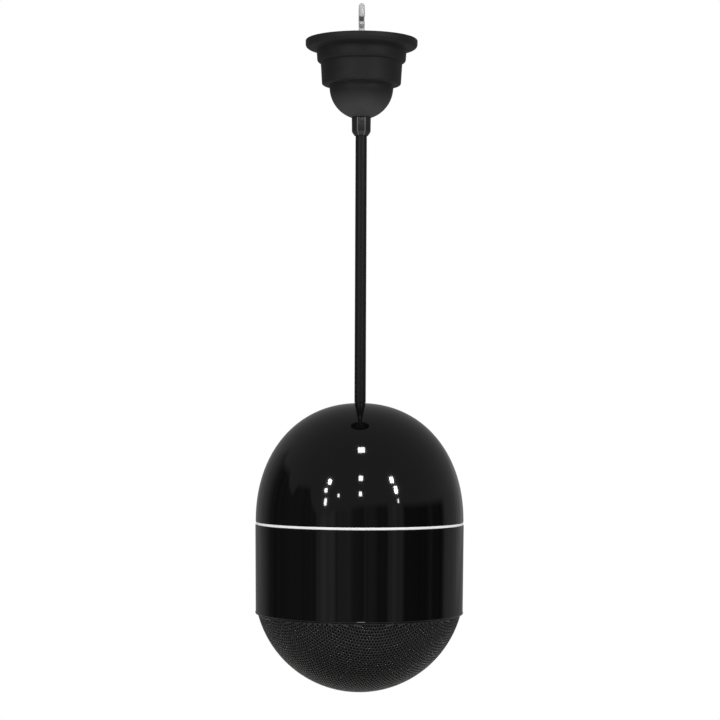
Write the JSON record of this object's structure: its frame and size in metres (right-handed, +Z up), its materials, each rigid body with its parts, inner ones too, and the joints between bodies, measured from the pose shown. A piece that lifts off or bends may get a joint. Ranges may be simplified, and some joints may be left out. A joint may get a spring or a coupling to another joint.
{
  "type": "pendant speaker",
  "caption": "Ceiling speaker in a gloss black capsule housing with a domed mesh grille below, hung on a straight rod from a stepped canopy with an eye hook.",
  "frame": {"origin": "the point inside the eye hook where the ceiling's own hook bears, on the rod's axis", "axes": "+Z up along the rod; -Y towards the viewer of the picture, where the hook's mouth is; +X towards the cable's side"},
  "size_m": [0.2082, 0.2082, 0.688],
  "materials": {
    "gloss_black": "high gloss black",
    "matt_black": "fine matt black texture",
    "collar_black": "gloss black",
    "satin_black": "satin black powder coat",
    "mesh_black": "satin black coating",
    "zinc": "zinc plated",
    "bright_metal": "bright plated",
    "brass": "plain",
    "nylon": "off-white",
    "sheath": "dull black",
    "rubber": "dull black",
    "paper": "coated paper",
    "spider_cloth": "resin-stiffened cloth",
    "kapton": "amber film",
    "copper": "enamelled copper wire",
    "ferrite": "dark grey ceramic",
    "phenolic": "brown laminate",
    "black_cloth": "thin black cloth"
  },
  "bodies": {
    "speaker": {"eye_hook": "zinc", "hook_locknut": "zinc", "hook_socket": "zinc", "socket_cross_pin": "zinc", "terminal_bracket": "zinc", "terminal_block": "nylon", "block_screw_1": "zinc", "clamp_screw_1": "brass", "clamp_screw_2": "brass", "clamp_screw_3": "brass", "clamp_screw_4": "brass", "suspension_rod": "satin_black", "speaker_cable": "sheath", "dome_shell": "gloss_black", "rod_washer": "zinc", "rod_nut": "zinc", "cable_grommet": "rubber", "trim_ring": "bright_metal", "lower_shell": "gloss_black", "shell_screw_1": "zinc", "shell_screw_2": "zinc", "shell_screw_3": "zinc", "shell_screw_4": "zinc", "driver_gasket": "rubber", "basket": "satin_black", "driver_screw_1": "zinc", "driver_screw_2": "zinc", "driver_screw_3": "zinc", "driver_screw_4": "zinc", "surround": "rubber", "spider": "spider_cloth", "top_plate": "zinc", "magnet": "ferrite", "back_plate": "zinc", "terminal_strip": "phenolic", "solder_tag_1": "brass", "solder_tag_2": "brass", "grille": "mesh_black", "grille_cloth": "black_cloth"},
    "ceiling_canopy": {"canopy": "matt_black", "lock_collar": "collar_black", "collar_grub_screw": "zinc"},
    "moving_cone": {"cone": "paper", "dust_cap": "paper", "coil_former": "kapton", "coil_winding": "copper"}
  },
  "joints": [
    {"name": "canopy_slide", "type": "slide", "parent": "speaker", "child": "ceiling_canopy", "axis": [0, 0, 1], "range_m": [-0.25, 0.03]},
    {"name": "cone_travel", "type": "slide", "parent": "speaker", "child": "moving_cone", "axis": [0, 0, 1], "range_m": [-0.003, 0.003], "stiffness_N_per_m": 1500, "deforming": ["surround", "spider"]}
  ]
}
